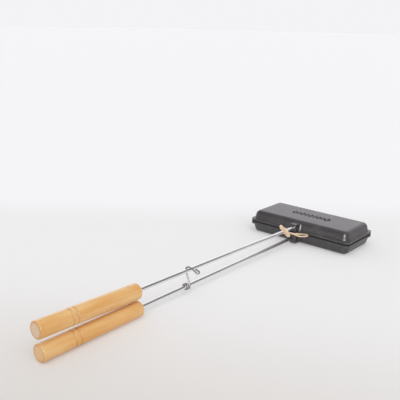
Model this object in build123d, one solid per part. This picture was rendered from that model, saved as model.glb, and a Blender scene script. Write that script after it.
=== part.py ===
from build123d import *
import math
import os

# A long-handled cast-iron pie iron. Two shallow pans close on each other like a clam and are joined by a
# hinge on the long side away from the user. Each pan has a socket lug that holds a steel rod with a
# turned wooden handle. A bent-wire latch, wound round the lower rod, hooks over the upper rod.
# A leather lace is tied round the upper rod close to the head.
#
# Frame, in millimetres: the origin is the middle of the lower pan's flat base, on the surface that the
# iron stands on. +X runs along the rods from the handles to the hinge, +Y is to the user's left, +Z up.

# --- Driving dimensions: the two pans -------------------------------------------------------------
HEAD_LENGTH = 235.0      # over the rims, across the rods
HEAD_WIDTH = 106.0       # over the rims, along the rods
PAN_DEPTH = 22.8         # one pan, from its flat to its rim face
RIM_GAP = 1.4            # between the two rim faces
RIM_THICK = 5.0
RIM_CORNER_R = 8.0
WALL_THICK = 4.5
FLOOR_THICK = 4.5
DIVIDER_WIDTH = 8.0      # rib between the two cooking wells
WELL_CORNER_R = 12.0
WELL_FLOOR_R = 7.0

# The two pans differ outside: the lower one is like a hull, the upper one has a plain ledge.
# side_ledge and end_ledge: how far the rim stands out from the wall along the long sides and at the ends.
# draft: degrees. corner_r: of the wall, next to the rim. crown_r: between the wall and the flat.
# ledge_r: under the rim. rim_r: outer edge of the rim face.
LOWER_SHAPE = {"side_ledge": 1.0, "end_ledge": 2.0, "draft": 17.0, "corner_r": 14.0,
               "crown_r": 9.0, "ledge_r": 1.0, "rim_r": 0.6}
UPPER_SHAPE = {"side_ledge": 2.5, "end_ledge": 3.8, "draft": 13.0, "corner_r": 13.0,
               "crown_r": 10.0, "ledge_r": 2.8, "rim_r": 1.2}

# --- Driving dimensions: ornament sunk into the upper pan's flat ----------------------------------
MARK_DEPTH = 1.2
MARK_MIDDLE_X = 1.0
LOZENGE_COUNT = 5
LOZENGE_LENGTH = 14.5    # across the rods
LOZENGE_WIDTH = 19.0     # along the rods
LOZENGE_INNER = 0.42     # size of the middle that is left standing, as a share of the lozenge
END_LOZENGE = 1.2        # size of the lozenge on the user's right, as a multiple of the others
BAR_WIDTH = 3.0
BAR_LENGTH = 17.5
MARK_PITCH = 19.5

# --- Driving dimensions: rods and their sockets ---------------------------------------------------
ROD_DIAMETER = 6.4
ROD_LENGTH = 565.0
LUG_WIDTH = 15.0
LUG_HEIGHT = 15.0
LOWER_LUG_EXTRA = 3.3    # height that only the lower lug has, below its rod
LUG_REACH = 10.0         # in front of the rim
LUG_OFFSET = 3.5         # off the head's middle, to the user's left
LUG_FLARE_R = 4.0
LUG_EDGE_R = 1.5
SOCKET_DEPTH = 14.0
SOCKET_SPARE = 1.0       # empty bore beyond the rod's end
UPPER_ROD_RISE = 10.7    # upper rod's axis above the upper rim face, at the lug
UPPER_LIFT = 0.78        # degrees, the upper rod climbs towards its handle
UPPER_DRIFT = 0.43       # degrees, and drifts to the user's left
SEAT_CLEARANCE = 0.05    # radial, round anything fixed in a hole
ROD_PIN_DIAMETER = 3.0
ROD_PIN_SETBACK = 5.0    # from the lug's front face

# --- Driving dimensions: hinge --------------------------------------------------------------------
KNUCKLE_R = 6.0
KNUCKLE_STANDOFF = 6.5   # hinge axis beyond the rim
OUTER_KNUCKLE_WIDTH = 9.0
MIDDLE_KNUCKLE_WIDTH = 14.0
KNUCKLE_GAP = 0.4
HINGE_PIN_DIAMETER = 5.0
HINGE_CLEARANCE = 0.06   # radial, running fit
PIN_HEAD_R = 3.8
PIN_HEAD_THICK = 1.6

# --- Driving dimensions: handles ------------------------------------------------------------------
HANDLE_LENGTH = 188.0
HANDLE_BUTT_R = 13.3
HANDLE_FRONT_R = 13.0
BUTT_EDGE_R = 2.2
NOSE_LENGTH = 6.5
NOSE_FACE_R = 6.5
NOSE_EDGE_R = 2.0
SHOULDER_R = 1.5
UPPER_HANDLE_TILT = 0.75 # degrees, the upper handle's outside climbs more than its rod
GROOVE_DEPTH = 0.9
GROOVE_WIDTH = 2.2
GROOVES_FROM_BUTT = (54.0, 63.0)
BORE_SPARE = 2.0
HANDLE_PIN_DIAMETER = 2.5
HANDLE_PIN_FROM_NOSE = 24.0
HANDLE_PIN_LENGTH = 21.0
HANDLE_FROM_LUG = 433.0  # lug's front face to the handle's nose

# --- Driving dimensions: latch --------------------------------------------------------------------
WIRE_DIAMETER = 2.7
COIL_TURNS = 2
COIL_PITCH = 4.4
COIL_CLEARANCE = 0.2     # radial, the coil turns on the rod
HOOK_CLEARANCE = 1.0     # radial, round the upper rod
LATCH_FROM_LUG = 324.4   # lug's front face to where the latch's leg leaves the coil
FINGER_REACH = 21.4      # hook's finger, beyond the upper rod's axis
FINGER_DROP = 3.9
FINGER_SKEW = 3.9        # back towards the handles
CURL_WIDTH = 5.5         # between centre lines of the finger's folded end
CURL_LENGTH = 7.5

# --- Driving dimensions: lace ---------------------------------------------------------------------
LACE_DIAMETER = 3.0
KNOT_FROM_LUG = 29.5     # lug's front face to the knot's middle
KNOT_LENGTH = 9.0
KNOT_R = 6.2
KNOT_EDGE_R = 2.5
KNOT_CLEARANCE = 0.1

# --- Worked out from the driving dimensions -------------------------------------------------------
SEAM_Z = PAN_DEPTH + RIM_GAP / 2
UPPER_RIM_Z = PAN_DEPTH + RIM_GAP
HEAD_HEIGHT = 2 * PAN_DEPTH + RIM_GAP
RIM_X = HEAD_WIDTH / 2
LUG_FRONT_X = -RIM_X - LUG_REACH
HINGE_X = RIM_X + KNUCKLE_STANDOFF
ROD_R = ROD_DIAMETER / 2
WIRE_R = WIRE_DIAMETER / 2
LACE_R = LACE_DIAMETER / 2
LOWER_ROD_Z = HANDLE_BUTT_R
UPPER_ROD_Z = UPPER_RIM_Z + UPPER_ROD_RISE


def rod_line(start_z, lift, drift):
    """Plane at the middle of a lug's front face: local z runs along the rod to the handle, local y up."""
    lift = math.radians(lift)
    drift = math.radians(drift)
    along = Vector(-math.cos(lift) * math.cos(drift), math.cos(lift) * math.sin(drift), math.sin(lift))
    level = Vector(0, 0, 1).cross(along)
    return Plane(origin=(LUG_FRONT_X, LUG_OFFSET, start_z), x_dir=level, z_dir=along)


def handle_line(rod, tilt):
    """Plane at the middle of a handle's nose: local z runs along the handle to its butt, local y up."""
    return rod * Pos(0, 0, HANDLE_FROM_LUG) * Rot(-tilt, 0, 0)


LOWER_LINE = rod_line(LOWER_ROD_Z, 0.0, 0.0)
UPPER_LINE = rod_line(UPPER_ROD_Z, UPPER_LIFT, UPPER_DRIFT)
LOWER_GRIP = handle_line(LOWER_LINE, 0.0)
UPPER_GRIP = handle_line(UPPER_LINE, UPPER_HANDLE_TILT)


def cylinder_on(line, radius, start, end):
    """Cylinder round a rod's line, from one distance along it to another."""
    return line * Pos(0, 0, start) * Cylinder(radius, end - start, align=(Align.CENTER, Align.CENTER, Align.MIN))


# --- Pans -----------------------------------------------------------------------------------------
def wall_x(shape):
    """Half width of a pan's wall along the rods, next to its rim."""
    return RIM_X - shape["side_ledge"]


def pan_shell(shape):
    """One pan without its lug and knuckles, rim face at z = 0 and open upwards."""
    rim = extrude(RectangleRounded(HEAD_WIDTH, HEAD_LENGTH, RIM_CORNER_R), -RIM_THICK)
    wall_length = HEAD_LENGTH - 2 * shape["end_ledge"]
    wall_outline = RectangleRounded(2 * wall_x(shape), wall_length, shape["corner_r"])
    wall = extrude(Pos(0, 0, -RIM_THICK) * wall_outline, -(PAN_DEPTH - RIM_THICK), taper=shape["draft"])
    body = rim + wall
    crown = body.edges().filter_by_position(Axis.Z, -PAN_DEPTH - 0.01, -PAN_DEPTH + 0.01)
    body = fillet(crown, shape["crown_r"])
    ledge = body.edges().filter_by_position(Axis.Z, -RIM_THICK - 0.01, -RIM_THICK + 0.01)
    reach_x = RIM_X - shape["side_ledge"] / 2
    reach_y = (HEAD_LENGTH - shape["end_ledge"]) / 2
    inner_ledge = [e for e in ledge if max(abs(v.X) for v in e.vertices()) < reach_x
                   and max(abs(v.Y) for v in e.vertices()) < reach_y]
    body = fillet(inner_ledge, shape["ledge_r"])
    rim_edges = body.edges().filter_by_position(Axis.Z, -0.01, 0.01)
    return fillet(rim_edges, shape["rim_r"])


def cooking_wells(shape):
    """The two hollows of a pan, as solids to cut, in the same place as pan_shell()."""
    length = (HEAD_LENGTH - 2 * (shape["end_ledge"] + WALL_THICK) - DIVIDER_WIDTH) / 2
    width = 2 * (wall_x(shape) - WALL_THICK)
    wells = []
    for side in (-1, 1):
        outline = Pos(0, side * (DIVIDER_WIDTH + length) / 2) * RectangleRounded(width, length, WELL_CORNER_R)
        well = extrude(outline, -(PAN_DEPTH - FLOOR_THICK), taper=shape["draft"])
        floor_edges = well.edges().filter_by_position(
            Axis.Z, FLOOR_THICK - PAN_DEPTH - 0.01, FLOOR_THICK - PAN_DEPTH + 0.01)
        wells.append(fillet(floor_edges, WELL_FLOOR_R))
    return wells


def socket_lug(shape, rod_drop, extra=0.0):
    """Block that holds a rod, flared where it meets the drafted wall.

    The rod's axis is rod_drop below the rim face, and the block goes extra further down.
    """
    draft = math.radians(shape["draft"])
    down_wall = Vector(math.sin(draft), 0, -math.cos(draft))
    out_of_wall = Vector(-math.cos(draft), 0, -math.sin(draft))
    root = Plane(origin=(-wall_x(shape), LUG_OFFSET, -RIM_THICK), x_dir=out_of_wall, z_dir=down_wall)
    half = LUG_WIDTH / 2
    wide = half + LUG_FLARE_R
    bend = LUG_FLARE_R * (1 - math.sqrt(0.5))
    depth = WALL_THICK * 0.6
    length = 2 * (RIM_X - wall_x(shape) + LUG_REACH)
    outline = Polyline((0, wide), (-depth, wide), (-depth, -wide), (0, -wide))
    outline += ThreePointArc((0, -wide), (bend, -half - bend), (LUG_FLARE_R, -half))
    outline += Polyline((LUG_FLARE_R, -half), (length, -half), (length, half), (LUG_FLARE_R, half))
    outline += ThreePointArc((LUG_FLARE_R, half), (bend, half + bend), (0, wide))
    flare = extrude(root * make_face(outline), PAN_DEPTH, both=True)
    block_length = LUG_REACH + RIM_X
    block = Box(block_length, 2 * wide, LUG_HEIGHT + extra)
    lug = flare & Pos(LUG_FRONT_X + block_length / 2, LUG_OFFSET, -rod_drop - extra / 2) * block
    front = lug.edges().filter_by_position(Axis.X, LUG_FRONT_X - 0.01, LUG_FRONT_X + 0.01)
    return fillet(front, LUG_EDGE_R)


def knuckle(shape, middle_y, width):
    """One hinge knuckle on the far side of a pan whose rim face is at z = 0."""
    barrel = Pos(HINGE_X, middle_y, RIM_GAP / 2) * Rot(90, 0, 0) * Cylinder(KNUCKLE_R, width)
    height = KNUCKLE_R - RIM_GAP / 2
    arm_length = HINGE_X - wall_x(shape) + WALL_THICK * 0.6
    arm = Pos(HINGE_X - arm_length / 2, middle_y, -height / 2) * Box(arm_length, width, height)
    return barrel + arm


def hinge_bore(radius):
    """Hole through the knuckles of a pan whose rim face is at z = 0."""
    return Pos(HINGE_X, 0, RIM_GAP / 2) * Rot(90, 0, 0) * Cylinder(radius, HEAD_LENGTH / 2)


def outer_knuckle_y():
    """Middle of each outer knuckle, off the middle of the hinge."""
    return MIDDLE_KNUCKLE_WIDTH / 2 + KNUCKLE_GAP + OUTER_KNUCKLE_WIDTH / 2


def rod_pin_hole(line):
    """Cross hole through a lug and its rod, across the rods."""
    hole = Cylinder(ROD_PIN_DIAMETER / 2 + SEAT_CLEARANCE, 2 * LUG_WIDTH)
    return line * Pos(0, 0, -ROD_PIN_SETBACK) * Rot(0, 90, 0) * hole


def socket_bore(line):
    """Blind bore for a rod, from in front of the lug to just past the rod's end."""
    return cylinder_on(line, ROD_R + SEAT_CLEARANCE, -SOCKET_DEPTH - SOCKET_SPARE, LUG_REACH)


def make_lower_pan():
    body = pan_shell(LOWER_SHAPE) + socket_lug(LOWER_SHAPE, PAN_DEPTH - LOWER_ROD_Z, LOWER_LUG_EXTRA)
    for side in (-1, 1):
        body += knuckle(LOWER_SHAPE, side * outer_knuckle_y(), OUTER_KNUCKLE_WIDTH)
    for well in cooking_wells(LOWER_SHAPE):
        body -= well
    body -= hinge_bore(HINGE_PIN_DIAMETER / 2 + SEAT_CLEARANCE)
    body = Pos(0, 0, PAN_DEPTH) * body
    body -= socket_bore(LOWER_LINE)
    return body - rod_pin_hole(LOWER_LINE)


def ornament():
    """Row of lozenge frames with a bar between each two, as solids to cut from the upper pan's flat."""
    first = -(LOZENGE_COUNT - 1) / 2 * MARK_PITCH
    sizes = [END_LOZENGE] + [1.0] * (LOZENGE_COUNT - 1)
    marks = []
    for i, size in enumerate(sizes):
        y = first + i * MARK_PITCH
        frame = lozenge(size) - lozenge(size * LOZENGE_INNER)
        marks.append(Pos(MARK_MIDDLE_X, y, HEAD_HEIGHT - MARK_DEPTH) * extrude(frame, 2 * MARK_DEPTH))
        if i > 0:
            between = y - MARK_PITCH / 2 + (sizes[i - 1] - size) * LOZENGE_LENGTH / 4
            bar = Box(BAR_LENGTH, BAR_WIDTH, 2 * MARK_DEPTH)
            marks.append(Pos(MARK_MIDDLE_X, between, HEAD_HEIGHT) * bar)
    return marks


def lozenge(size):
    """Flat lozenge, longer along the rods."""
    half_length = size * LOZENGE_LENGTH / 2
    half_width = size * LOZENGE_WIDTH / 2
    corners = [(half_width, 0), (0, half_length), (-half_width, 0), (0, -half_length)]
    return make_face(Polyline(*corners, close=True))


def make_upper_pan():
    body = pan_shell(UPPER_SHAPE) + socket_lug(UPPER_SHAPE, UPPER_ROD_RISE)
    body += knuckle(UPPER_SHAPE, 0, MIDDLE_KNUCKLE_WIDTH)
    for well in cooking_wells(UPPER_SHAPE):
        body -= well
    body -= hinge_bore(HINGE_PIN_DIAMETER / 2 + HINGE_CLEARANCE)
    body = Pos(0, 0, UPPER_RIM_Z) * mirror(body, Plane.XY)
    body -= socket_bore(UPPER_LINE)
    body -= rod_pin_hole(UPPER_LINE)
    for mark in ornament():
        body -= mark
    return body


def make_hinge_pin():
    """Headed pin along Y through all three knuckles."""
    grip = 2 * (outer_knuckle_y() + OUTER_KNUCKLE_WIDTH / 2 + SEAT_CLEARANCE)
    pin = Cylinder(HINGE_PIN_DIAMETER / 2, grip)
    for side in (-1, 1):
        head = Pos(0, 0, side * (grip + PIN_HEAD_THICK) / 2) * Cylinder(PIN_HEAD_R, PIN_HEAD_THICK)
        rim = head.edges().filter_by(GeomType.CIRCLE).sort_by(Axis.Z)[-1 if side > 0 else 0]
        pin += fillet(rim, PIN_HEAD_THICK * 0.6)
    return Pos(HINGE_X, 0, SEAM_Z) * Rot(90, 0, 0) * pin


# --- Rods and handles -----------------------------------------------------------------------------
def handle_pin_hole(grip):
    """Hole for the brad that crosses a handle and its rod from above."""
    hole = Cylinder(HANDLE_PIN_DIAMETER / 2 + SEAT_CLEARANCE, HANDLE_PIN_LENGTH + SEAT_CLEARANCE,
                    align=(Align.CENTER, Align.CENTER, Align.MAX))
    top = handle_radius(HANDLE_LENGTH - HANDLE_PIN_FROM_NOSE) + SEAT_CLEARANCE
    return grip * Pos(0, top, HANDLE_PIN_FROM_NOSE) * Rot(-90, 0, 0) * hole


def make_rod(line, grip):
    """Straight bright rod from its socket into its handle, with cross holes for both pins."""
    end = ROD_LENGTH - SOCKET_DEPTH
    rod = cylinder_on(line, ROD_R, -SOCKET_DEPTH, end)
    rod = chamfer(rod.edges().filter_by(GeomType.CIRCLE), ROD_R * 0.2)
    return rod - rod_pin_hole(line) - handle_pin_hole(grip)


def make_rod_pin(line):
    pin = Cylinder(ROD_PIN_DIAMETER / 2, LUG_WIDTH)
    pin = chamfer(pin.edges().filter_by(GeomType.CIRCLE), ROD_PIN_DIAMETER * 0.08)
    return line * Pos(0, 0, -ROD_PIN_SETBACK) * Rot(0, 90, 0) * pin


def handle_radius(from_butt):
    """Radius of the slightly tapered handle at a distance from its butt."""
    return HANDLE_BUTT_R + (HANDLE_FRONT_R - HANDLE_BUTT_R) * from_butt / HANDLE_LENGTH


def make_handle(line, grip):
    """Turned handle: rounded butt, two shallow grooves, coned nose, and a blind bore on the rod's line."""
    shoulder = HANDLE_LENGTH - NOSE_LENGTH
    points = [(0, 0), (handle_radius(0), 0)]
    for middle in GROOVES_FROM_BUTT:
        points.append((handle_radius(middle), middle - GROOVE_WIDTH / 2))
        points.append((handle_radius(middle) - GROOVE_DEPTH, middle))
        points.append((handle_radius(middle), middle + GROOVE_WIDTH / 2))
    points += [(handle_radius(shoulder), shoulder), (NOSE_FACE_R, HANDLE_LENGTH), (0, HANDLE_LENGTH)]
    outline = make_face(Polyline(*points, close=True))
    rounded = {1: BUTT_EDGE_R, len(points) - 3: SHOULDER_R, len(points) - 2: NOSE_EDGE_R}
    for number, radius in rounded.items():
        corner = outline.vertices().sort_by_distance(Vector(points[number][0], points[number][1], 0))[0]
        outline = fillet(corner, radius)
    turned = revolve(Rot(90, 0, 0) * outline, Axis.Z)
    body = grip * Pos(0, 0, HANDLE_LENGTH) * Rot(180, 0, 0) * turned
    rod_end = ROD_LENGTH - SOCKET_DEPTH
    body -= cylinder_on(line, ROD_R + SEAT_CLEARANCE, HANDLE_FROM_LUG - NOSE_LENGTH, rod_end + BORE_SPARE)
    return body - handle_pin_hole(grip)


def make_handle_pin(grip):
    """Brad that keeps a handle on its rod, its head level with the wood."""
    pin = Cylinder(HANDLE_PIN_DIAMETER / 2, HANDLE_PIN_LENGTH, align=(Align.CENTER, Align.CENTER, Align.MAX))
    top = handle_radius(HANDLE_LENGTH - HANDLE_PIN_FROM_NOSE)
    return grip * Pos(0, top, HANDLE_PIN_FROM_NOSE) * Rot(-90, 0, 0) * pin


# --- Latch ----------------------------------------------------------------------------------------
def arc_or_line(start, tangent, end):
    """Arc that leaves start along the tangent, or a line where it would be straight."""
    if (end - start).get_angle(tangent) < 0.01:
        return Edge.make_line(start, end)
    return Edge.make_tangent_arc(start, tangent, end)


def biarc(start, start_tangent, end, end_tangent):
    """Two arcs that join two points and have the given directions there."""
    span = end - start
    both = start_tangent + end_tangent
    bend = 2 * (1 - start_tangent.dot(end_tangent))
    if bend < 1e-9:
        reach = span.dot(span) / (2 * span.dot(both))
    else:
        reach = (math.sqrt(span.dot(both) ** 2 + bend * span.dot(span)) - span.dot(both)) / bend
    middle = (start + end + (start_tangent - end_tangent) * reach) * 0.5
    middle_tangent = ((end - end_tangent * reach) - (start + start_tangent * reach)).normalized()
    return [arc_or_line(start, start_tangent, middle), arc_or_line(middle, middle_tangent, end)]


def latch_stations():
    """Points of the latch's centre line with the wire's direction at each, coil first.

    The leg is the inner tangent of the coil and the hook, seen along the rods. It leaves the coil on
    the user's right and passes the upper rod on its left, and its slope along X is the coil's own.
    """
    coil_r = ROD_R + COIL_CLEARANCE + WIRE_R
    hook_r = ROD_R + HOOK_CLEARANCE + WIRE_R
    climb = COIL_PITCH / (2 * math.pi)
    coil_end_x = LUG_FRONT_X - LATCH_FROM_LUG
    to_upper = (coil_end_x - LUG_FRONT_X) / UPPER_LINE.z_dir.X
    upper = UPPER_LINE.origin + UPPER_LINE.z_dir * to_upper
    across = upper.Y - LUG_OFFSET
    height = upper.Z - LOWER_ROD_Z
    distance = math.hypot(across, height)
    leg_angle = math.atan2(height, across) - math.asin((coil_r + hook_r) / distance)
    stations = []
    for quarter in range(4 * COIL_TURNS, -1, -1):
        turned = quarter * math.pi / 2
        angle = leg_angle + math.pi / 2 + turned
        x = coil_end_x - climb * turned
        point = Vector(x, LUG_OFFSET + coil_r * math.cos(angle), LOWER_ROD_Z + coil_r * math.sin(angle))
        heading = Vector(climb, coil_r * math.sin(angle), -coil_r * math.cos(angle))
        stations.append((point, heading.normalized()))
    leg_length = math.sqrt(distance ** 2 - (coil_r + hook_r) ** 2)
    leg_top = stations[-1][0] + Vector(climb / coil_r, math.cos(leg_angle), math.sin(leg_angle)) * leg_length
    stations.append((leg_top, stations[-1][1]))
    hook_top = Vector(leg_top.X + climb, upper.Y, upper.Z + hook_r)
    stations.append((hook_top, Vector(0, -1, 0)))
    finger_end = hook_top - Vector(FINGER_SKEW, FINGER_REACH, FINGER_DROP)
    stations.append((finger_end, Vector(-0.14, -0.92, -0.36).normalized()))
    fold_end = finger_end + Vector(0.93, 0, 0.36).normalized() * CURL_WIDTH
    back = Vector(0.08, 0.98, 0.18).normalized()
    stations.append((fold_end, back))
    stations.append((fold_end + back * CURL_LENGTH, back))
    return stations


def make_latch():
    stations = latch_stations()
    edges = []
    for (start, heading), (end, next_heading) in zip(stations, stations[1:]):
        edges += biarc(start, heading, end, next_heading)
    path = Wire(edges)
    section = Plane(origin=path @ 0, z_dir=path % 0) * Circle(WIRE_R)
    print("latch: least gap of the wire to itself %.2f mm" % least_gap(path, WIRE_DIAMETER))
    return sweep(section, path=path)


def least_gap(path, diameter):
    """Smallest space between stretches of a round wire that are over three diameters apart along it."""
    count = int(path.length)
    points = [path @ (i / count) for i in range(count + 1)]
    step = path.length / count
    skip = int(3 * diameter / step)
    gaps = [(points[i] - points[j]).length for i in range(count) for j in range(i + skip, count + 1)]
    return min(gaps) - diameter


# --- Lace -----------------------------------------------------------------------------------------
# Each route is a list of points chosen by hand, from the knot and back to it.
LOOP_ROUTE = [
    (-89.5, -0.2, 32.2),
    (-83.0, -3.2, 31.0),
    (-78.4, -9.0, 28.4),
    (-74.6, -14.2, 25.6),
    (-70.0, -20.4, 23.7),
    (-64.6, -27.0, 24.2),
    (-60.0, -30.6, 25.2),
    (-55.9, -27.2, 25.9),
    (-56.6, -18.2, 24.6),
    (-59.6, -10.4, 24.4),
    (-65.6, -6.9, 25.2),
    (-72.4, -4.6, 26.2),
    (-77.6, -0.6, 28.5),
    (-83.4, 2.2, 29.2),
    (-89.5, 4.4, 30.4),
]
TOP_BOW_ROUTE = [
    (-92.0, 5.4, 39.5),
    (-92.6, 9.9, 45.6),
    (-93.0, 13.9, 45.4),
    (-93.4, 15.5, 41.7),
    (-93.6, 12.0, 37.4),
    (-93.2, 8.5, 35.0),
]
LOW_BOW_ROUTE = [
    (-92.0, 4.6, 30.4),
    (-92.4, 0.2, 25.8),
    (-92.8, -4.4, 25.2),
    (-93.0, -7.8, 27.8),
    (-93.0, -7.2, 31.8),
    (-92.8, -1.6, 34.6),
]


def corner_radii(points):
    """Fillet radius at each inner corner: 0.45 of the shorter run over the tangent of half the turn."""
    points = [Vector(*p) for p in points]
    radii = []
    for before, corner, after in zip(points, points[1:], points[2:]):
        turn = math.radians((corner - before).get_angle(after - corner))
        shorter = min((corner - before).length, (after - corner).length)
        radii.append(0.45 * shorter / math.tan(turn / 2))
    return radii


def make_lace(name, route):
    """Round lace along straight runs joined by tangent arcs."""
    radii = corner_radii(route)
    path = FilletPolyline(*route, radius=radii)
    tube = sweep(Plane(origin=path @ 0, z_dir=path % 0) * Circle(LACE_R), path=path)
    expected = math.pi * LACE_R ** 2 * path.length
    print(name, "length %.1f mm, volume %.4f of section times length, radii" % (path.length, tube.volume / expected),
          ["%.1f" % r for r in radii])
    return tube


def make_knot():
    """The space of the knot, a rounded sleeve round the upper rod."""
    start = KNOT_FROM_LUG - KNOT_LENGTH / 2
    sleeve = cylinder_on(UPPER_LINE, KNOT_R, start, start + KNOT_LENGTH)
    sleeve = fillet(sleeve.edges().filter_by(GeomType.CIRCLE), KNOT_EDGE_R)
    return sleeve - cylinder_on(UPPER_LINE, ROD_R + KNOT_CLEARANCE, start - 1, start + KNOT_LENGTH + 1)


def make_all():
    """Every sub-part by its name."""
    return {
        "lower_pan": make_lower_pan(),
        "upper_pan": make_upper_pan(),
        "hinge_pin": make_hinge_pin(),
        "lower_rod": make_rod(LOWER_LINE, LOWER_GRIP),
        "upper_rod": make_rod(UPPER_LINE, UPPER_GRIP),
        "lower_rod_pin": make_rod_pin(LOWER_LINE),
        "upper_rod_pin": make_rod_pin(UPPER_LINE),
        "lower_handle": make_handle(LOWER_LINE, LOWER_GRIP),
        "upper_handle": make_handle(UPPER_LINE, UPPER_GRIP),
        "lower_handle_pin": make_handle_pin(LOWER_GRIP),
        "upper_handle_pin": make_handle_pin(UPPER_GRIP),
        "latch": make_latch(),
        "lace_knot": make_knot(),
        "lace_loop": make_lace("lace_loop", LOOP_ROUTE),
        "lace_top_bow": make_lace("lace_top_bow", TOP_BOW_ROUTE),
        "lace_low_bow": make_lace("lace_low_bow", LOW_BOW_ROUTE),
    }


os.makedirs("parts", exist_ok=True)
for node, shape in make_all().items():
    shape.label = node
    export_step(shape, "parts/" + node + ".step")
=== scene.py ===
import math

import bpy
import numpy as np
from mathutils import Matrix, Vector


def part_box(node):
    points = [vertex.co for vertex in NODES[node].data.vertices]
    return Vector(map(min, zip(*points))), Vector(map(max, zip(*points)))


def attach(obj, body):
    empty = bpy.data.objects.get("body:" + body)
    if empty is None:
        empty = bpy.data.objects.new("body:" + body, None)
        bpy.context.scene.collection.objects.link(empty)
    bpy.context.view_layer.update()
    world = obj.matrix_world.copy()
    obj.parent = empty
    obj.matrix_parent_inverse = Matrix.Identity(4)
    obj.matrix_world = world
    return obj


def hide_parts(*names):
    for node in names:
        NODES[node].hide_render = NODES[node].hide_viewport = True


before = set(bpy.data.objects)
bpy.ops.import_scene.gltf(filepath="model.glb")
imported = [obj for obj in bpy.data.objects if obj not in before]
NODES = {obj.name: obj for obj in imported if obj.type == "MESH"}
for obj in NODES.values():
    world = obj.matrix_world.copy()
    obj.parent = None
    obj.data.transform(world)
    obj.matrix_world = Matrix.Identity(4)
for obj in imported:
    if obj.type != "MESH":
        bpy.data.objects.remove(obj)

bl_info = {
    "name": "Pie iron",
    "version": (1, 0, 0),
    "blender": (4, 5, 0),
    "location": "View3D > Sidebar > Pie iron",
    "description": "Finishes a long-handled pie iron, ties its leather lace and lights it",
    "category": "Add Mesh",
}

MM = 0.001
PINS = ("hinge_pin", "lower_rod_pin", "upper_rod_pin", "lower_handle_pin", "upper_handle_pin")


def mm(*values):
    """Millimetres as metres."""
    return tuple(value * MM for value in values)


# --- Places on the pans ---------------------------------------------------------------------------
# Each spot is a box: its middle, its half-sizes and the width of the soft edge round it. The sunk
# marks' middle has its height from the head's top.
# Painted shade: the sunk marks are painted near black where their relief is in shade.
MARKS_PAINTED_SHADE = (mm(1.0, 0.0, -1.4), mm(10.5, 48.0, 0.5), mm(1.0, 1.0, 0.6))
# Painted shade: the upper lug's side face beside the rod is painted near black.
LUG_SIDE_PAINTED_SHADE = (mm(-74.0, -4.0, 47.5), mm(20.0, 0.6, 20.0), mm(1.5, 0.5, 1.0))
# Painted highlight: pale iron on the upper lug's flare.
FLARE_PAINTED_HIGHLIGHT = (mm(-51.5, -6.6, 34.5), mm(2.5, 1.0, 5.0), mm(1.7, 0.9, 2.0))
# Painted shade: a near black band along the seam between the rims.
SEAM_PAINTED_SHADE = mm(1.6, 1.1)  # half-height and soft edge, round the middle of the seam

# --- Places on the rods and handles ---------------------------------------------------------------
# Each pair for a soft change is where it begins and where it is complete.
# The lower rod's steel turns darker between these places.
DARKER_TOWARDS_HEAD = mm(-260.0, -90.0)  # along X, towards the head
LOWER_HANDLE = (mm(-684.0, 3.5, 13.3), mm(-496.0, 3.5, 13.3))  # butt and nose of its axis
UPPER_HANDLE = (mm(-683.88, 8.16, 45.81), mm(-495.95, 6.75, 40.79))
GROOVES = mm(54.0, 63.0)  # from the butt
GROOVE_WIDTH = mm(0.6, 1.5)  # half-width and soft edge
BUTT_FACE = mm(1.6, 0.6)  # from the butt
BUTT_RIM = mm(8.0, 11.8)  # from the axis
PITH_SIDE, PITH_DEPTH = mm(21.0, 34.0)  # from the axis, at the butt
PITH_SLOPE = 0.03  # how much deeper the pith gets along the handle
RING_RATE = 1500  # radians per metre, which makes a ring 4.2 mm wide
RING_WAVE = 5.5  # radians by which the rings wander

# --- The lace's routes ----------------------------------------------------------------------------
# They run from the knot and back to it. The loop's are the solid lace's own points, and the bows
# are drawn narrower than the solid ones.
LOOP_ROUTE = np.array((
    (-89.5, -0.2, 32.2),
    (-83.0, -3.2, 31.0),
    (-78.4, -9.0, 28.4),
    (-74.6, -14.2, 25.6),
    (-70.0, -20.4, 23.7),
    (-64.6, -27.0, 24.2),
    (-60.0, -30.6, 25.2),
    (-55.9, -27.2, 25.9),
    (-56.6, -18.2, 24.6),
    (-59.6, -10.4, 24.4),
    (-65.6, -6.9, 25.2),
    (-72.4, -4.6, 26.2),
    (-77.6, -0.6, 28.5),
    (-83.4, 2.2, 29.2),
    (-89.5, 4.4, 30.4),
)) * MM
TOP_BOW_ROUTE = np.array((
    (-92.0, 6.1, 38.7),
    (-92.6, 11.1, 44.2),
    (-93.0, 14.4, 44.8),
    (-93.4, 15.0, 42.3),
    (-93.6, 11.2, 38.4),
    (-93.2, 7.8, 35.8),
)) * MM
LOW_BOW_ROUTE = np.array((
    (-92.0, 4.0, 31.6),
    (-92.4, -0.8, 27.6),
    (-92.8, -5.1, 26.4),
    (-93.0, -7.7, 27.7),
    (-93.0, -6.5, 30.5),
    (-92.8, -1.0, 33.4),
)) * MM
# Painted shade on the loop's tip.
TIP_PAINTED_SHADE = mm(-65.0, -57.5)  # along X, where the loop's leather gets darker
LOOP_WIDTH, LOOP_THICKNESS = 1.4, 0.9  # of the loop, in diameters of the lace
LOOP_TWIST = 0.4  # radians from one end of the loop to the other
STRAP_HEIGHT = 1.4  # from the rod to the knot's strap, in thicknesses of the drawn lace
STRAP_ARC = (50, 250)  # degrees from the left over the top, from the top bow to the low bow
LACE_SIDES = 20
LACE_CORNERS = 0.8  # power that draws an oval out towards a rounded oblong
LACE_SWELL = 0.04 / 3  # share of the width that each of the waves adds at most
LACE_WAVES = ((0.0021, 0.3), (0.0037, 1.9), (0.0009, 4.1))  # length per radian, and phase
LENGTHWISE = "lengthwise"

# --- The stage ------------------------------------------------------------------------------------
FLOOR_HALF = 30.0
FLECK = (0.59, 0.59, 0.59)
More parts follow.
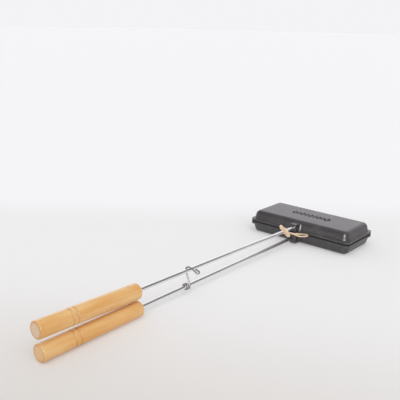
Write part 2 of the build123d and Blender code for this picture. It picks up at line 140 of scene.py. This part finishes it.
# Painted shade on the floor near the camera.
NEAR_SHADE = (1.0, 0.42)  # distance from the camera's foot
NEAR_SLANT = 0.25  # metres by which it reaches further, for each metre to the camera's left
SOFT_LINE = (-0.09, 0.13)  # either side of where the far floor begins
KEY_TRAVEL = (0.42, 0.55, -0.85)
WINDOW_TRAVEL = (0.82, 0.40, -0.33)
# The grey wall, by the parts of a unit vector that points towards it.
WALL_SIDES = (-0.3, 0.3)  # toward_y between which its foot rises
WALL_FOOT = (0.05, 0.40)  # height of its foot at those two
WALL_BOTTOM = (0.0, 0.12)  # height above its foot
WALL_TOP = (0.86, 0.72)
WALL_END = (0.815, 0.765)  # toward_x
BEHIND_OBJECT = (0.2, 0.8)  # along the camera's level direction
GLOW_BEHIND_CAMERA = 0.6


def middle_of(node):
    """Middle of a part's box, in metres."""
    low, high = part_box(node)
    return (low + high) / 2


# --- Shader maths ---------------------------------------------------------------------------------
class Value:
    """An output of a node; arithmetic on it adds Math nodes."""

    def __init__(self, finish, socket):
        self.finish = finish
        self.socket = socket

    def others(self, *names):
        """Further outputs of the same node."""
        return [Value(self.finish, self.socket.node.outputs[name]) for name in names]

    def math(self, operation, *others):
        operands = dict(enumerate((self, *others)))
        return self.finish.node("ShaderNodeMath", {"operation": operation}, operands)

    def __add__(self, other):
        return self.math("ADD", other)

    def __sub__(self, other):
        return self.math("SUBTRACT", other)

    def __mul__(self, other):
        return self.math("MULTIPLY", other)

    def __rsub__(self, other):
        return self.finish.node("ShaderNodeMath", {"operation": "SUBTRACT"}, {0: other, 1: self})

    def __pow__(self, other):
        return self.math("POWER", other)

    def __abs__(self):
        return self.math("ABSOLUTE")

    __radd__ = __add__
    __rmul__ = __mul__


class Finish:
    """The nodes of a material, or of the world, that is being built."""

    def __init__(self, owner):
        owner.use_nodes = True
        self.owner = owner
        self.tree = owner.node_tree
        self.tree.nodes.clear()

    def node(self, kind, settings=None, inputs=None, output=0):
        """Adds a node, sets its settings, then its sockets to values or links; gives one output."""
        node = self.tree.nodes.new(kind)
        for key, value in (settings or {}).items():
            setattr(node, key, value)
        for key, value in (inputs or {}).items():
            if isinstance(value, Value):
                self.tree.links.new(value.socket, node.inputs[key])
            else:
                node.inputs[key].default_value = value
        return Value(self, node.outputs[output]) if node.outputs else None

    def place(self):
        """Object coordinates, in metres in the part's frame."""
        return self.node("ShaderNodeTexCoord", output="Object")

    def vector_math(self, operation, first, second, output=0):
        inputs = {0: first, 1: second}
        return self.node("ShaderNodeVectorMath", {"operation": operation}, inputs, output)

    def axes(self, vector):
        """The three numbers of a vector."""
        return self.node("ShaderNodeSeparateXYZ", inputs={0: vector}).others("X", "Y", "Z")

    def dot(self, vector, way):
        """How far a vector reaches in one direction."""
        return self.vector_math("DOT_PRODUCT", vector, tuple(way), output="Value")

    def noise(self, vector, scale, detail=4.0, roughness=0.55, distortion=0.0):
        return self.node("ShaderNodeTexNoise", inputs={
            "Vector": vector, "Scale": scale, "Detail": detail, "Roughness": roughness,
            "Distortion": distortion})

    def drawn_noise(self, vector, scale, shift=(0, 0, 0), **settings):
        """Noise that is shifted first and has a scale of its own along each axis."""
        moved = self.vector_math("SUBTRACT", vector, shift)
        return self.noise(self.vector_math("MULTIPLY", moved, scale), 1.0, **settings)

    def between(self, value, low, high, start=0.0, end=1.0):
        """Smooth step of a value from low to high, given as start to end."""
        return self.node("ShaderNodeMapRange", {"interpolation_type": "SMOOTHSTEP"}, {
            "Value": value, "From Min": low, "From Max": high, "To Min": start, "To Max": end})

    def near(self, value, middle, half, edge):
        """1 where a value lies within half of a middle, falling to 0 over a soft edge."""
        return self.between(abs(value - middle), half + edge, half)

    def spot(self, vector, middle, halves, edges):
        """1 inside a box round a middle, falling to 0 over its soft edges."""
        x, y, z = (self.near(*sizes) for sizes in zip(self.axes(vector), middle, halves, edges))
        return x * y * z

    def blend(self, factor, first, second):
        """Mix of two colours."""
        first, second = (tint if isinstance(tint, Value) else (*tint, 1)
                         for tint in (first, second))
        # Sockets 6 and 7 and output 2 are the node's colours.
        return self.node("ShaderNodeMix", {"data_type": "RGBA"},
                         {"Factor": factor, 6: first, 7: second}, output=2)

    def bump(self, height, depth):
        """Normal from a height in 0..1 that is worth depth metres."""
        return self.node("ShaderNodeBump", inputs={
            "Height": height, "Distance": depth, "Strength": 1.0})

    def surface(self, **sockets):
        """Principled surface with these sockets, joined to the output; gives the material."""
        names = {key.replace("_", " ").title().replace("Ior", "IOR"): value
                 for key, value in sockets.items()}
        shader = self.node("ShaderNodeBsdfPrincipled", inputs=names)
        self.node("ShaderNodeOutputMaterial", inputs={"Surface": shader})
        return self.owner


def new_finish(name):
    """Finish of a new material."""
    return Finish(bpy.data.materials.new(name))


def put_on(material, *names):
    """Gives CAD parts a material in all their slots."""
    for name in names:
        slots = NODES[name].data.materials
        slots.clear()
        slots.append(material)


# --- Surfaces from grids --------------------------------------------------------------------------
def unit(vector):
    return vector / np.linalg.norm(vector)


def run_along(path):
    """Length along a path at each of its points."""
    return np.concatenate([[0], np.cumsum(np.linalg.norm(np.diff(path, axis=0), axis=1))])


def add_grid(name, points):
    """Mesh of a grid of points: rings along its first axis, closed round its second.

    The ends are closed with a fan round each end ring's middle. The UV map holds the length along
    the rings' middles, in metres, and the way round from 0 to 1.
    """
    rings, around = points.shape[:2]
    middles = points.mean(1)
    run = run_along(middles)
    ring = np.arange(around)
    after = (ring + 1) % around

    row, column = np.meshgrid(np.arange(rings - 1), ring, indexing="ij")
    following = after[column]
    quads = np.stack([row * around + column, row * around + following,
                      (row + 1) * around + following, (row + 1) * around + column], -1)
    quad_u = np.stack([run[row], run[row], run[row + 1], run[row + 1]], -1)
    quad_v = np.stack([column, column + 1, column + 1, column], -1) / around

    vertices = np.concatenate([points.reshape(-1, 3), middles[:1], middles[-1:]])
    first, last = len(vertices) - 2, len(vertices) - 1
    base = (rings - 1) * around
    first_fan = np.stack([after, ring, np.full(around, first)], -1)
    last_fan = np.stack([base + ring, base + after, np.full(around, last)], -1)
    fan_u = np.concatenate([np.zeros((around, 3)), np.full((around, 3), run[-1])])
    fan_v = np.stack([ring + 1, ring, ring + 0.5], -1) / around
    fan_v = np.concatenate([fan_v, fan_v])

    mesh = bpy.data.meshes.new(name)
    faces = quads.reshape(-1, 4).tolist() + first_fan.tolist() + last_fan.tolist()
    mesh.from_pydata(vertices.tolist(), [], faces)
    uv = np.concatenate([np.stack([quad_u, quad_v], -1).reshape(-1, 2),
                         np.stack([fan_u, fan_v], -1).reshape(-1, 2)])
    layer = mesh.uv_layers.new(name=LENGTHWISE)
    layer.data.foreach_set("uv", uv.astype(np.float32).ravel())
    mesh.shade_smooth()
    piece = bpy.data.objects.new(name, mesh)
    bpy.context.scene.collection.objects.link(piece)
    return piece


def across_path(path, flat_normal):
    """Two crosswise unit vectors at each point of a path, turned as little as possible.

    The first one starts at right angles to flat_normal.
    """
    tangent = np.gradient(path, axis=0)
    tangent /= np.linalg.norm(tangent, axis=1)[:, None]
    across = np.zeros_like(path)
    across[0] = unit(np.cross(tangent[0], flat_normal))
    for i in range(1, len(path)):
        across[i] = unit(across[i - 1] - tangent[i] * (across[i - 1] @ tangent[i]))
    return across, np.cross(tangent, across)


def thong(name, path, width, thickness, flat_normal, twist=0.0):
    """Leather thong along a path: its section is a rounded oblong, width by thickness.

    The section's point at angle a is half the width times c and half the thickness times s, with
    c and s the cosine and sine of a, drawn out towards the corners by a power. Its flat side starts
    out facing flat_normal and turns by twist radians along the path. Both sizes swell and shrink by
    a few percent along it, as a sum of three sine waves.
    """
    across, up = across_path(path, flat_normal)
    run = run_along(path)
    angle = np.linspace(0, 2 * math.pi, LACE_SIDES, endpoint=False)
    c, s = (np.sign(wave) * np.abs(wave) ** LACE_CORNERS for wave in (np.cos(angle), np.sin(angle)))
    swell = 1 + LACE_SWELL * sum(np.sin(run / length + phase) for length, phase in LACE_WAVES)
    turn = (twist * run / run[-1])[:, None]
    x = np.outer(swell * width / 2, c)
    y = np.outer(swell * thickness / 2, s)
    flat = x * np.cos(turn) - y * np.sin(turn)
    high = x * np.sin(turn) + y * np.cos(turn)
    section = flat[..., None] * across[:, None] + high[..., None] * up[:, None]
    return add_grid(name, path[:, None] + section)


def route_points(name, route):
    """Points along the smooth line that a route's points control."""
    curve = bpy.data.curves.new(name, "CURVE")
    curve.dimensions = "3D"
    curve.resolution_u = 12
    spline = curve.splines.new("NURBS")
    spline.points.add(len(route) - 1)
    for point, place in zip(spline.points, route):
        point.co = (*place, 1)
    spline.order_u = 3
    spline.use_endpoint_u = True
    line = bpy.data.objects.new(name, curve)
    mesh = bpy.data.meshes.new_from_object(line)
    points = np.array([v.co for v in mesh.vertices])
    bpy.data.meshes.remove(mesh)
    bpy.data.objects.remove(line)
    bpy.data.curves.remove(curve)
    return points


def knot_paths(sizes):
    """Two lines: the knot's wraps, and the strap that crosses them from the top bow to the low bow.

    The wraps are a helix round the upper rod: its radius is the rod's plus half the drawn lace, its
    pitch the lace's width. The strap is an arc on top of the wraps, counted from the user's left
    over the top, and it shifts along the rod by one lace width.
    """
    middle = np.array(middle_of("lace_knot"))
    along = unit(np.array(middle_of("upper_rod")) - middle)
    left = unit(np.cross((0, 0, 1), -along))
    up = np.cross(left, along)
    rod_low, rod_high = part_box("lower_rod")
    rod_radius = (rod_high.z - rod_low.z) / 2

    def turns(angle, shift, radius):
        """Points round the rod at these angles, each shifted along it."""
        ring = np.cos(angle)[:, None] * left + np.sin(angle)[:, None] * up
        return middle + shift[:, None] * along + radius * ring

    steps = 40 * sizes.wraps
    span = sizes.diameter * (sizes.wraps - 1)
    wraps = turns(np.linspace(0, 2 * math.pi * sizes.wraps, steps),
                  np.linspace(-span / 2, span / 2, steps), rod_radius + sizes.wrap_thickness / 2)
    steps = 50
    strap = turns(np.radians(np.linspace(*STRAP_ARC, steps)),
                  np.linspace(0.5, -0.5, steps) * sizes.diameter,
                  rod_radius + sizes.wrap_thickness * STRAP_HEIGHT)
    return wraps, strap


# --- What a user can change -----------------------------------------------------------------------
def colour(name, description, default):
    return bpy.props.FloatVectorProperty(
        name=name, description=description, subtype="COLOR", size=3, min=0, max=1, default=default)


def length(name, description, default):
    return bpy.props.FloatProperty(
        name=name, description=description, unit="LENGTH", min=0.0001, default=default, precision=4)


def amount(name, description, default, least=0.0):
    return bpy.props.FloatProperty(name=name, description=description, min=least, default=default)


def angle_of(name, description, default):
    return bpy.props.FloatProperty(
        name=name, description=description, subtype="ANGLE", default=default)


class PieIronFinishes(bpy.types.PropertyGroup):
    """Colours of the iron's own finishes, and of its painted shade and painted highlight."""

    iron: colour("Seasoned iron", "Seasoned cast iron", (0.040, 0.037, 0.039))
    iron_worn: colour("Worn iron", "Where the seasoning is thin", (0.082, 0.077, 0.080))
    # Painted highlight.
    iron_painted_highlight: colour("Painted iron highlight", "Pale painted highlight on the upper lug's flare", (0.36, 0.35, 0.36))
    # Painted shade, used in the seam, beside the lug and in the sunk marks.
    painted_shade: colour("Painted black shade", "In the seam, beside the lug and in the sunk marks", (0.010, 0.010, 0.010))
    steel: colour("Bright steel", "Plated steel of the rods", (0.84, 0.84, 0.84))
    # The lower rod is darker towards the head.
    steel_darker: colour("Darker steel", "The lower rod towards the head", (0.13, 0.13, 0.14))
    wire: colour("Wire", "The latch's wire", (0.30, 0.29, 0.28))
    pin: colour("Pins", "The steel pins", (0.25, 0.25, 0.25))
    wood_light: colour("Early wood", "Light part of the handles' grain", (0.79, 0.50, 0.21))
    wood_dark: colour("Late wood", "Dark part of the handles' grain", (0.72, 0.36, 0.10))
    wood_end: colour("End grain", "Wood on the butts", (0.72, 0.53, 0.36))
    wood_groove: colour("Burnt groove", "Wood in the grooves", (0.46, 0.18, 0.05))
    leather: colour("Leather", "The lace", (0.78, 0.58, 0.40))
    # Painted shade on the loop's tip.
    leather_painted_shade: colour("Shaded leather tip", "The lace at the loop's tip", (0.36, 0.31, 0.20))
    leather_dark: colour("Leather creases", "The lace's creases and dark grain", (0.50, 0.32, 0.19))


class PieIronLace(bpy.types.PropertyGroup):
    """Sizes of the leather lace."""

    diameter: length("Diameter", "Thickness of the lace", 0.003)
    bow_width: length("Bow width", "Width of the lace in the two bows", 0.0040)
    bow_thickness: length("Bow thickness", "Thickness of the lace in the two bows", 0.0028)
    wrap_thickness: length("Drawn thickness", "Thickness of the lace in the tight knot", 0.0022)
    wraps: bpy.props.IntProperty(
        name="Wraps", description="Turns of the knot round the upper rod", min=2, max=4, default=3)


class PieIronStage(bpy.types.PropertyGroup):
    """Floor, lamps and camera."""

    floor: colour("Floor", "The pale floor round the object", (0.643, 0.636, 0.643))
    # Painted shade on the floor near the camera.
    floor_near_shade: colour("Shaded near floor", "The floor in front of the object", (0.517, 0.491, 0.466))
    floor_far: colour("Far floor", "The floor beyond the soft line", (0.687, 0.680, 0.695))
    floor_glow: amount("Floor glow", "The floor's own light, which softens the shadows", 0.35)
    far_from: bpy.props.FloatProperty(
        name="Soft line", description="Distance from the camera's foot to the soft line",
        subtype="DISTANCE", default=1.39)
    backdrop: colour("Backdrop", "The backdrop as it is seen", (0.90, 0.90, 0.92))
    backdrop_gloss: colour("Backdrop in gloss", "The backdrop in the gloss", (0.91, 0.88, 0.92))
    backdrop_glow: amount("Backdrop glow", "Strength of the backdrop in the gloss", 1.75, 1.0)
    wall: colour("Wall", "The studio's grey wall", (0.27, 0.27, 0.28))
    sky_strength: amount("Dome", "Strength of the pale dome of light", 0.71)
    key_strength: amount("Key", "Strength of the broad soft lamp", 1.12)
    key_spread: angle_of("Key spread", "How broad the soft lamp looks", math.radians(75))
    window_strength: amount("Window", "Strength of the small lamp for the highlights", 3.6)
    window_spread: angle_of("Window spread", "How broad the small lamp looks", math.radians(22))
    lens: bpy.props.FloatProperty(
        name="Lens", description="Focal length on a 36 mm wide sensor",
        subtype="DISTANCE_CAMERA", default=54.784)
    place: bpy.props.FloatVectorProperty(
        name="Camera place", description="Where the camera stands", subtype="TRANSLATION",
        default=(-1.09297, -0.62031, 0.43936))
    yaw: angle_of("Camera yaw", "Where the camera looks, from +X towards +Y", 0.7050)
    pitch: angle_of("Camera pitch", "How far the camera looks down", 0.2848)
    roll: angle_of("Camera roll", "How far the camera is turned about its view", 0.0184)


# --- Finishes -------------------------------------------------------------------------------------
def cast_iron(colours):
    """Seasoned sand casting: fine grain and slow mottling, with painted shade and one painted
    highlight.

    Painted shade, near black, lies in the seam between the rims, in the corner beside the upper
    lug and in the sunk marks. The upper lug's flare has a painted highlight of pale iron.
    """
    iron = new_finish("seasoned_cast_iron")
    place = iron.place()
    sand = iron.noise(place, 1500, detail=3, roughness=0.7)
    grain = iron.noise(place, 420, detail=5, roughness=0.6)
    mottle = iron.noise(place, 38, detail=5, roughness=0.62, distortion=0.4)
    height = iron.axes(place)[2]
    head_top = (0, 0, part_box("upper_pan")[1].z)
    in_marks = iron.spot(iron.vector_math("SUBTRACT", place, head_top), *MARKS_PAINTED_SHADE)
    in_seam = iron.near(height, middle_of("hinge_pin").z, *SEAM_PAINTED_SHADE)
    # Painted shade: near black in the marks, the seam and beside the lug.
    painted_shade_mask = in_marks * 0.85 + in_seam + iron.spot(place, *LUG_SIDE_PAINTED_SHADE)
    worn = iron.between(mottle + grain * 0.35, 0.62, 0.95)
    base = iron.blend(worn, colours.iron, colours.iron_worn)
    # Painted highlight on the upper lug's flare.
    base = iron.blend(iron.spot(place, *FLARE_PAINTED_HIGHLIGHT), base, colours.iron_painted_highlight)
    base = iron.blend(painted_shade_mask, base, colours.painted_shade)
    rough = 0.36 + (mottle - 0.5) * 0.2 + (grain - 0.5) * 0.15 + painted_shade_mask * 0.5
    normal = iron.bump(sand * 0.35 + grain * 0.65, 0.18 * MM)
    return iron.surface(base_color=base, roughness=rough, normal=normal, ior=1.6)


def drawn_steel(name, bright, roughness, dark_tint, dark_share):
    """Drawn steel: faint lengthwise lines, small dull patches and a darker end towards the head."""
    steel = new_finish(name)
    place = steel.place()
    lines = steel.drawn_noise(place, (9, 2600, 2600), detail=3)
    dull = steel.drawn_noise(place, (40, 160, 160), detail=4, roughness=0.6)
    stain = steel.between(dull, 0.56, 0.78)
    base = steel.blend(stain * 0.3, bright, tuple(part * 0.8 for part in bright))
    # Darker towards the head, by the given share.
    base = steel.blend(steel.between(steel.axes(place)[0], *DARKER_TOWARDS_HEAD) * dark_share, base, dark_tint)
    rough = roughness + (lines - 0.5) * 0.05 + stain * 0.06
    normal = steel.bump(lines, 0.002 * MM)
    return steel.surface(base_color=base, metallic=1.0, roughness=rough, normal=normal)


def turned_wood(name, butt, nose, colours, shift, paleness):
    """Varnished hardwood: rings about a pith beside the handle, broad patches, pores, dark grooves.

    Places are counted along the handle's axis from its butt, and across it from the axis. The shift
    moves the pattern, and paleness is how much of the end grain's own colour shows on the butt.
    """
    wood = new_finish(name)
    axis = (Vector(nose) - Vector(butt)).normalized()
    left = Vector((0, 0, 1)).cross(axis).normalized()
    from_butt = wood.vector_math("SUBTRACT", wood.place(), butt)
    along, side, rise = (wood.dot(from_butt, way) for way in (axis, left, axis.cross(left)))
    turned = wood.node("ShaderNodeCombineXYZ", inputs={0: along, 1: side, 2: rise})

    wave = wood.drawn_noise(turned, (5, 26, 26), shift, detail=2)
    streak = wood.drawn_noise(turned, (14, 420, 420), shift, detail=3, roughness=0.6)
    pore = wood.between(wood.drawn_noise(turned, (95, 2600, 2600), shift, detail=2), 0.63, 0.74)
    patch = wood.drawn_noise(turned, (13, 48, 48), shift, detail=2, roughness=0.4)
    pith = ((side - PITH_SIDE) ** 2 + (rise + PITH_DEPTH + along * PITH_SLOPE) ** 2) ** 0.5
    ring = ((pith * RING_RATE + wave * RING_WAVE).math("SINE") + 1) * 0.5
    figure = (patch - 0.5) * 1.8 + wood.between(ring, 0.1, 1.0) * 0.14 + (streak - 0.5) * 0.3
    base = wood.blend(wood.between(figure, -0.35, 0.50), colours.wood_light, colours.wood_dark)
    base = wood.blend(pore * 0.25, base, colours.wood_groove)

    first, second = (wood.near(along, place, *GROOVE_WIDTH) for place in GROOVES)
    groove = first + second
    base = wood.blend(groove * 0.3, base, colours.wood_groove)
    end = wood.between(along, *BUTT_FACE)
    rim = wood.between((side * side + rise * rise) ** 0.5, *BUTT_RIM)
    base = wood.blend(end * (1 - rim * 0.75) * paleness, base, colours.wood_end)
    base = wood.blend(end * rim * 0.35, base, colours.wood_groove)
    return wood.surface(
        base_color=base, roughness=0.42 + (streak - 0.5) * 0.15 + end * 0.25, ior=1.5,
        coat_weight=0.25 - groove * 0.2, coat_roughness=0.15,
        normal=wood.bump(streak * 0.5 + (1 - pore) * 0.5, 0.03 * MM))


def leather(colours):
    """Tan leather lace: fine grain, creases across it and painted shade on the loop's tip."""
    hide = new_finish("tan_leather")
    lengthwise = hide.node("ShaderNodeUVMap", {"uv_map": LENGTHWISE})
    place = hide.place()
    grain = hide.noise(place, 1900, detail=4, roughness=0.6)
    patch = hide.noise(place, 260, detail=3)
    crease = hide.drawn_noise(lengthwise, (900, 3.0, 1), detail=3, distortion=0.6)
    fold = hide.between(crease, 0.60, 0.78)
    dark = hide.between(patch + (grain - 0.5) * 0.5 + fold * 0.3, 0.52, 0.95)
    # Painted shade on the loop's tip.
    tip_shade = hide.between(hide.axes(place)[0], *TIP_PAINTED_SHADE)
    base = hide.blend(dark, colours.leather, colours.leather_dark)
    base = hide.blend(tip_shade * 0.75, base, colours.leather_painted_shade)
    return hide.surface(
        base_color=base, roughness=0.62 + (grain - 0.5) * 0.2, sheen_weight=0.15,
        normal=hide.bump(grain * 0.45 + (1 - fold) * 0.55, 0.12 * MM))


# --- Operators ------------------------------------------------------------------------------------
class PIEIRON_OT_iron(bpy.types.Operator):
    """Give both pans their seasoned cast iron"""

    bl_idname = "pie_iron.iron"
    bl_label = "Season the pans"

    def execute(self, context):
        put_on(cast_iron(context.scene.pie_iron_finishes), "lower_pan", "upper_pan")
        return {"FINISHED"}


class PIEIRON_OT_steel(bpy.types.Operator):
    """Give the rods, pins and latch their steel"""

    bl_idname = "pie_iron.steel"
    bl_label = "Finish the steel"

    def execute(self, context):
        colours = context.scene.pie_iron_finishes
        for name, bright, roughness, dark_share, nodes in (
            ("bright_drawn_steel", colours.steel, 0.21, 0.0, ("upper_rod",)),
            ("darker_drawn_steel", colours.steel, 0.21, 0.75, ("lower_rod",)),
            ("spring_wire", colours.wire, 0.50, 0.0, ("latch",)),
            ("dull_pin_steel", colours.pin, 0.45, 0.0, PINS),
        ):
            put_on(drawn_steel(name, bright, roughness, colours.steel_darker, dark_share), *nodes)
        return {"FINISHED"}


class PIEIRON_OT_handles(bpy.types.Operator):
    """Give both handles their turned wood"""

    bl_idname = "pie_iron.handles"
    bl_label = "Varnish the handles"

    def execute(self, context):
        colours = context.scene.pie_iron_finishes
        for node, ends, shift, paleness in (
            ("upper_handle", UPPER_HANDLE, (0.4, 0.1, 0.7), 1.0),
            ("lower_handle", LOWER_HANDLE, (0.9, 0.5, 0.2), 0.35),
        ):
            put_on(turned_wood(node + "_wood", *ends, colours, shift, paleness), node)
        return {"FINISHED"}


class PIEIRON_OT_lace(bpy.types.Operator):
    """Tie the leather lace round the upper rod"""

    bl_idname = "pie_iron.lace"
    bl_label = "Tie the lace"

    def execute(self, context):
        sizes = context.scene.pie_iron_lace
        loop_path = route_points("loop_line", LOOP_ROUTE)
        loop = thong("leather_loop", loop_path, sizes.diameter * LOOP_WIDTH,
                     sizes.diameter * LOOP_THICKNESS, (0.3, 0.3, 0.9), LOOP_TWIST)
        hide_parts("lace_loop")
        others = []
        for name, route, node in (("leather_top_bow", TOP_BOW_ROUTE, "lace_top_bow"),
                                  ("leather_low_bow", LOW_BOW_ROUTE, "lace_low_bow")):
            path = route_points(name + "_line", route)
            bow = thong(name, path, sizes.bow_width, sizes.bow_thickness, (1, 0, 0))
            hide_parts(node)
            others.append(bow)
        wraps, crossing = knot_paths(sizes)
        middle = wraps.mean(0)
        knot = thong("leather_knot", wraps, sizes.diameter, sizes.wrap_thickness, wraps[0] - middle)
        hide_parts("lace_knot")
        strap = thong("leather_knot_strap", crossing, sizes.bow_width, sizes.wrap_thickness,
                      crossing[0] - middle)
        others += [knot, strap]
        material = leather(context.scene.pie_iron_finishes)
        for piece in (loop, *others):
            piece.data.materials.append(material)
            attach(piece, "upper_half")
        return {"FINISHED"}


class PIEIRON_OT_stage(bpy.types.Operator):
    """Lay the pale floor, light it and set the camera up"""

    bl_idname = "pie_iron.stage"
    bl_label = "Set the stage"

    def execute(self, context):
        stage = context.scene.pie_iron_stage
        add_floor(stage)
        add_dome(context.scene, stage)
        add_lamp("key", stage.key_strength, stage.key_spread, KEY_TRAVEL)
        window = add_lamp("window", stage.window_strength, stage.window_spread, WINDOW_TRAVEL)
        window.visible_diffuse = False
        add_camera(context.scene, stage)
        context.scene.view_settings.view_transform = "Standard"
        return {"FINISHED"}


def add_floor(stage):
    """Square floor that the closed iron stands on; it gives a little light of its own.

    Its colour changes with the distance from the camera's foot: near it, painted shade makes it
    darker, and beyond a soft line it is paler.
    """
    mesh = bpy.data.meshes.new("floor")
    corners = [(x * FLOOR_HALF, y * FLOOR_HALF, 0) for x, y in ((-1, -1), (1, -1), (1, 1), (-1, 1))]
    mesh.from_pydata(corners, [], [(0, 1, 2, 3)])
    floor = bpy.data.objects.new("floor", mesh)
    bpy.context.scene.collection.objects.link(floor)

    paper = new_finish("pale_floor")
    place = paper.place()
    fleck = paper.noise(place, 700, detail=3)
    from_camera = paper.vector_math("SUBTRACT", place, tuple(stage.place))
    away = paper.dot(from_camera, (math.cos(stage.yaw), math.sin(stage.yaw), 0))
    aside = paper.dot(from_camera, (-math.sin(stage.yaw), math.cos(stage.yaw), 0))
    # Painted shade near the camera.
    near = paper.between(away - aside * NEAR_SLANT, *NEAR_SHADE)
    beyond = paper.between(away, *(stage.far_from + edge for edge in SOFT_LINE))
    base = paper.blend(near, stage.floor, stage.floor_near_shade)
    base = paper.blend(beyond, base, stage.floor_far)
    base = paper.blend((fleck - 0.5) * 0.1 + 0.05, base, FLECK)
    mesh.materials.append(paper.surface(
        base_color=base, roughness=0.9, specular_ior_level=0.2,
        emission_color=base, emission_strength=stage.floor_glow))


def add_dome(scene, stage):
    """Pale dome of light, seen as a white backdrop with the studio's grey wall half way up.

    The wall covers the directions between its foot, which rises to the left, and its top. In the
    gloss of the iron and the steel, the backdrop is stronger behind the object than behind the
    camera.
    """
    sky = Finish(bpy.data.worlds.new("pale_dome"))

    def shade(tint, strength):
        return sky.node("ShaderNodeBackground", inputs={"Color": (*tint, 1), "Strength": strength})

    def either(factor, first, second):
        return sky.node("ShaderNodeMixShader", inputs={0: factor, 1: first, 2: second})

    camera, glossy, clear = sky.node("ShaderNodeLightPath").others(
        "Is Camera Ray", "Is Glossy Ray", "Is Transmission Ray")
    # In a world, the generated place is the unit vector that points towards it.
    toward_x, toward_y, height = sky.axes(sky.node("ShaderNodeTexCoord", output="Generated"))
    foot = sky.between(toward_y, *WALL_SIDES, *WALL_FOOT)
    wall = sky.between(height - foot, *WALL_BOTTOM) * sky.between(height, *WALL_TOP)
    wall = wall * sky.between(toward_x, *WALL_END)

    def backdrop(tint, strength):
        return either(wall, shade(tint, strength), shade(stage.wall, strength))

    level = toward_x * math.cos(stage.yaw) + toward_y * math.sin(stage.yaw)
    in_gloss = either(sky.between(level, *BEHIND_OBJECT),
                      backdrop(stage.backdrop_gloss, GLOW_BEHIND_CAMERA),
                      backdrop(stage.backdrop_gloss, stage.backdrop_glow))
    seen = either(glossy, backdrop(stage.backdrop, 1.0), in_gloss)
    seen_by = camera.math("MAXIMUM", glossy).math("MAXIMUM", clear)
    light = either(seen_by, shade((1, 1, 1), stage.sky_strength), seen)
    sky.node("ShaderNodeOutputWorld", inputs={"Surface": light})
    scene.world = sky.owner


def add_lamp(name, strength, spread, travel):
    """Far lamp whose light travels in one direction and which looks as broad as its spread."""
    light = bpy.data.lights.new(name, "SUN")
    light.energy = strength
    light.angle = spread
    lamp = bpy.data.objects.new(name, light)
    lamp.rotation_mode = "QUATERNION"
    lamp.rotation_quaternion = Vector(travel).to_track_quat("-Z", "Y")
    bpy.context.scene.collection.objects.link(lamp)
    return lamp


def add_camera(scene, stage):
    """Camera from its place, yaw, pitch and roll."""
    cos_yaw, sin_yaw = math.cos(stage.yaw), math.sin(stage.yaw)
    cos_pitch, sin_pitch = math.cos(stage.pitch), math.sin(stage.pitch)
    forward = Vector((cos_yaw * cos_pitch, sin_yaw * cos_pitch, -sin_pitch))
    level = Vector((sin_yaw, -cos_yaw, 0))
    upright = level.cross(forward)
    right = level * math.cos(stage.roll) + upright * math.sin(stage.roll)
    up = upright * math.cos(stage.roll) - level * math.sin(stage.roll)
    data = bpy.data.cameras.new("camera")
    data.sensor_width = 36
    data.lens = stage.lens
    camera = bpy.data.objects.new("camera", data)
    turned = Matrix((right, up, -forward)).transposed().to_4x4()
    camera.matrix_world = Matrix.Translation(stage.place) @ turned
    scene.collection.objects.link(camera)
    scene.camera = camera


class PIEIRON_PT_sidebar(bpy.types.Panel):
    """Sizes, colours and steps of the pie iron"""

    bl_label = "Pie iron"
    bl_idname = "PIEIRON_PT_sidebar"
    bl_space_type = "VIEW_3D"
    bl_region_type = "UI"
    bl_category = "Pie iron"

    def draw(self, context):
        for operator in OPERATORS:
            self.layout.operator(operator.bl_idname)
        for name in GROUPS:
            group = getattr(context.scene, name)
            box = self.layout.box()
            for key in group.__annotations__:
                box.prop(group, key)


GROUPS = {
    "pie_iron_finishes": PieIronFinishes,
    "pie_iron_lace": PieIronLace,
    "pie_iron_stage": PieIronStage,
}
OPERATORS = (
    PIEIRON_OT_stage,
    PIEIRON_OT_lace,
    PIEIRON_OT_iron,
    PIEIRON_OT_steel,
    PIEIRON_OT_handles,
)
CLASSES = (*GROUPS.values(), *OPERATORS, PIEIRON_PT_sidebar)


def register():
    for cls in CLASSES:
        bpy.utils.register_class(cls)
    for name, group in GROUPS.items():
        setattr(bpy.types.Scene, name, bpy.props.PointerProperty(type=group))


def unregister():
    for name in GROUPS:
        delattr(bpy.types.Scene, name)
    for cls in reversed(CLASSES):
        bpy.utils.unregister_class(cls)


def main():
    """Runs every step."""
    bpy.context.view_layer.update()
    register()
    bpy.ops.pie_iron.stage()
    bpy.ops.pie_iron.lace()
    bpy.ops.pie_iron.iron()
    bpy.ops.pie_iron.steel()
    bpy.ops.pie_iron.handles()


if __name__ == "__main__":
    main()
